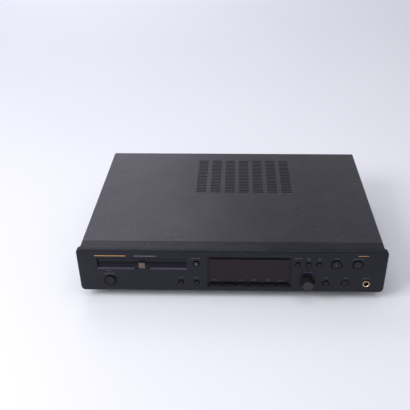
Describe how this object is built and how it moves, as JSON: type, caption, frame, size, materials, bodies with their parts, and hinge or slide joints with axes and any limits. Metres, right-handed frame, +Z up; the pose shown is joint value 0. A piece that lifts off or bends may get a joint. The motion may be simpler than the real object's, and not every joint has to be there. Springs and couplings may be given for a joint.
{
  "type": "disc player and recorder",
  "caption": "Full-width hi-fi disc player and recorder with a motor-driven disc tray, display window, push buttons, level knobs, headphone socket and rear sockets.",
  "frame": {"origin": "on the plane that the feet stand on, under the middle of the whole machine", "axes": "+X to the right of a person who faces the front, +Y to the back, +Z up"},
  "size_m": [0.435, 0.314, 0.085],
  "materials": {
    "aluminium": "satin",
    "board": "lacquered board",
    "button_plastic": "semi-gloss",
    "capacitor_sleeve": "shrunk sleeve",
    "copper": "wound wire, lacquered",
    "cover_paint": "fine textured satin paint",
    "fascia_plastic": "fine satin texture",
    "gear_plastic": "moulded, self-lubricating",
    "glass": "clear",
    "loader_plastic": "moulded",
    "rubber": "matt",
    "socket_gold": "polished plating",
    "steel": "zinc plated",
    "tray_plastic": "satin",
    "window_plastic": "dark tinted, polished"
  },
  "bodies": {
    "housing": {"capacitor_1": "capacitor_sleeve", "capacitor_2": "capacitor_sleeve", "chassis_base": "steel", "clamp_bridge": "steel", "digital_sockets": "button_plastic", "display_tube": "glass", "display_window": "window_plastic", "drive_belt": "rubber", "foot_front_left": "rubber", "foot_front_right": "rubber", "foot_rear_left": "rubber", "foot_rear_right": "rubber", "front_board": "board", "front_fascia": "fascia_plastic", "headphone_socket": "socket_gold", "heat_sink": "aluminium", "line_sockets": "button_plastic", "loader_frame": "loader_plastic", "loading_motor": "steel", "main_board": "board", "mains_inlet": "button_plastic", "power_board": "board", "rear_panel": "cover_paint", "top_cover": "cover_paint", "transformer_coil": "copper", "transformer_core": "steel"},
    "tray": {"disc_tray": "tray_plastic", "tray_front": "tray_plastic"},
    "loading_gear": {"loading_gear": "gear_plastic"},
    "drive_pulley": {"drive_pulley": "gear_plastic"},
    "motor_pulley": {"motor_pulley": "gear_plastic"},
    "traverse": {"traverse_frame": "loader_plastic", "spindle_motor": "steel", "guide_rod_left": "steel", "guide_rod_right": "steel", "sled_motor": "steel"},
    "sled_screw": {"sled_screw": "steel"},
    "turntable": {"turntable": "tray_plastic"},
    "laser_sled": {"laser_sled": "aluminium", "objective_lens": "glass"},
    "clamp_puck": {"clamp_puck": "gear_plastic"},
    "level_knob": {"level_knob": "button_plastic"},
    "phones_knob": {"phones_knob": "button_plastic"},
    "power_button": {"power_button": "button_plastic"},
    "open_button": {"open_button": "button_plastic"},
    "function_button_left": {"function_button_left": "button_plastic"},
    "function_button_right": {"function_button_right": "button_plastic"},
    "transport_button_1": {"transport_button_1": "button_plastic"},
    "transport_button_2": {"transport_button_2": "button_plastic"},
    "transport_button_3": {"transport_button_3": "button_plastic"},
    "large_button_left": {"large_button_left": "button_plastic"},
    "large_button_right": {"large_button_right": "button_plastic"},
    "mode_button": {"mode_button": "button_plastic"},
    "display_key_1": {"display_key_1": "button_plastic"},
    "display_key_2": {"display_key_2": "button_plastic"},
    "display_key_3": {"display_key_3": "button_plastic"},
    "display_key_4": {"display_key_4": "button_plastic"},
    "display_key_5": {"display_key_5": "button_plastic"},
    "display_key_6": {"display_key_6": "button_plastic"}
  },
  "joints": [
    {"name": "tray_slide", "type": "slide", "parent": "housing", "child": "tray", "axis": [0, -1, 0], "range_m": [0, 0.142]},
    {"name": "loading_gear_spin", "type": "hinge", "parent": "housing", "child": "loading_gear", "pos_m": [-0.1669, -0.1025, 0.0448], "axis": [0, 0, 1], "range_deg": [0, 680]},
    {"name": "drive_pulley_spin", "type": "hinge", "parent": "housing", "child": "drive_pulley", "pos_m": [-0.1449, -0.1025, 0.0448], "axis": [0, 0, 1], "range_deg": [-1810, 0]},
    {"name": "motor_pulley_spin", "type": "hinge", "parent": "housing", "child": "motor_pulley", "pos_m": [-0.1044, -0.1025, 0.0448], "axis": [0, 0, 1], "range_deg": [-5504.61, 0]},
    {"name": "traverse_tilt", "type": "hinge", "parent": "housing", "child": "traverse", "pos_m": [-0.1264, 0.0135, 0.0515], "axis": [1, 0, 0], "range_deg": [0, 4.05]},
    {"name": "turntable_spin", "type": "hinge", "parent": "traverse", "child": "turntable", "pos_m": [-0.1264, -0.0665, 0.0627], "axis": [0, 0, 1], "continuous": true},
    {"name": "sled_slide", "type": "slide", "parent": "traverse", "child": "laser_sled", "axis": [0, 1, 0], "range_m": [0, 0.035]},
    {"name": "sled_screw_spin", "type": "hinge", "parent": "traverse", "child": "sled_screw", "pos_m": [-0.0939, -0.051, 0.0445], "axis": [0, 1, 0], "range_deg": [0, 2102]},
    {"name": "puck_spin", "type": "hinge", "parent": "housing", "child": "clamp_puck", "pos_m": [-0.1264, -0.0665, 0.0685], "axis": [0, 0, 1], "continuous": true},
    {"name": "level_knob_turn", "type": "hinge", "parent": "housing", "child": "level_knob", "pos_m": [0.1077, -0.1445, 0.03309], "axis": [0, 1, 0], "range_deg": [-150, 150]},
    {"name": "phones_knob_turn", "type": "hinge", "parent": "housing", "child": "phones_knob", "pos_m": [0.1615, -0.1445, 0.0295], "axis": [0, 1, 0], "range_deg": [-140, 140]},
    {"name": "power_button_press", "type": "slide", "parent": "housing", "child": "power_button", "axis": [0, 1, 0], "range_m": [0, 0.0025], "stiffness_N_per_m": 400, "springref_m": -0.003},
    {"name": "open_button_press", "type": "slide", "parent": "housing", "child": "open_button", "axis": [0, 1, 0], "range_m": [0, 0.001], "stiffness_N_per_m": 400, "springref_m": -0.003},
    {"name": "function_button_left_press", "type": "slide", "parent": "housing", "child": "function_button_left", "axis": [0, 1, 0], "range_m": [0, 0.001], "stiffness_N_per_m": 400, "springref_m": -0.003},
    {"name": "function_button_right_press", "type": "slide", "parent": "housing", "child": "function_button_right", "axis": [0, 1, 0], "range_m": [0, 0.001], "stiffness_N_per_m": 400, "springref_m": -0.003},
    {"name": "transport_button_1_press", "type": "slide", "parent": "housing", "child": "transport_button_1", "axis": [0, 1, 0], "range_m": [0, 0.001], "stiffness_N_per_m": 400, "springref_m": -0.003},
    {"name": "transport_button_2_press", "type": "slide", "parent": "housing", "child": "transport_button_2", "axis": [0, 1, 0], "range_m": [0, 0.001], "stiffness_N_per_m": 400, "springref_m": -0.003},
    {"name": "transport_button_3_press", "type": "slide", "parent": "housing", "child": "transport_button_3", "axis": [0, 1, 0], "range_m": [0, 0.001], "stiffness_N_per_m": 400, "springref_m": -0.003},
    {"name": "large_button_left_press", "type": "slide", "parent": "housing", "child": "large_button_left", "axis": [0, 1, 0], "range_m": [0, 0.001], "stiffness_N_per_m": 400, "springref_m": -0.003},
    {"name": "large_button_right_press", "type": "slide", "parent": "housing", "child": "large_button_right", "axis": [0, 1, 0], "range_m": [0, 0.001], "stiffness_N_per_m": 400, "springref_m": -0.003},
    {"name": "mode_button_press", "type": "slide", "parent": "housing", "child": "mode_button", "axis": [0, 1, 0], "range_m": [0, 0.001], "stiffness_N_per_m": 400, "springref_m": -0.003},
    {"name": "display_key_1_press", "type": "slide", "parent": "housing", "child": "display_key_1", "axis": [0, 1, 0], "range_m": [0, 0.001], "stiffness_N_per_m": 400, "springref_m": -0.003},
    {"name": "display_key_2_press", "type": "slide", "parent": "housing", "child": "display_key_2", "axis": [0, 1, 0], "range_m": [0, 0.001], "stiffness_N_per_m": 400, "springref_m": -0.003},
    {"name": "display_key_3_press", "type": "slide", "parent": "housing", "child": "display_key_3", "axis": [0, 1, 0], "range_m": [0, 0.001], "stiffness_N_per_m": 400, "springref_m": -0.003},
    {"name": "display_key_4_press", "type": "slide", "parent": "housing", "child": "display_key_4", "axis": [0, 1, 0], "range_m": [0, 0.001], "stiffness_N_per_m": 400, "springref_m": -0.003},
    {"name": "display_key_5_press", "type": "slide", "parent": "housing", "child": "display_key_5", "axis": [0, 1, 0], "range_m": [0, 0.001], "stiffness_N_per_m": 400, "springref_m": -0.003},
    {"name": "display_key_6_press", "type": "slide", "parent": "housing", "child": "display_key_6", "axis": [0, 1, 0], "range_m": [0, 0.001], "stiffness_N_per_m": 400, "springref_m": -0.003}
  ],
  "couplings": [
    {"joint": "loading_gear_spin", "follows": "tray_slide", "rad_per_m": 83.333},
    {"joint": "drive_pulley_spin", "follows": "tray_slide", "rad_per_m": -222.22},
    {"joint": "motor_pulley_spin", "follows": "tray_slide", "rad_per_m": -676.33},
    {"joint": "traverse_tilt", "follows": "tray_slide", "rad_per_m": 0.49164},
    {"joint": "puck_spin", "follows": "turntable_spin", "ratio": 1},
    {"joint": "sled_screw_spin", "follows": "sled_slide", "rad_per_m": 1047.2}
  ]
}
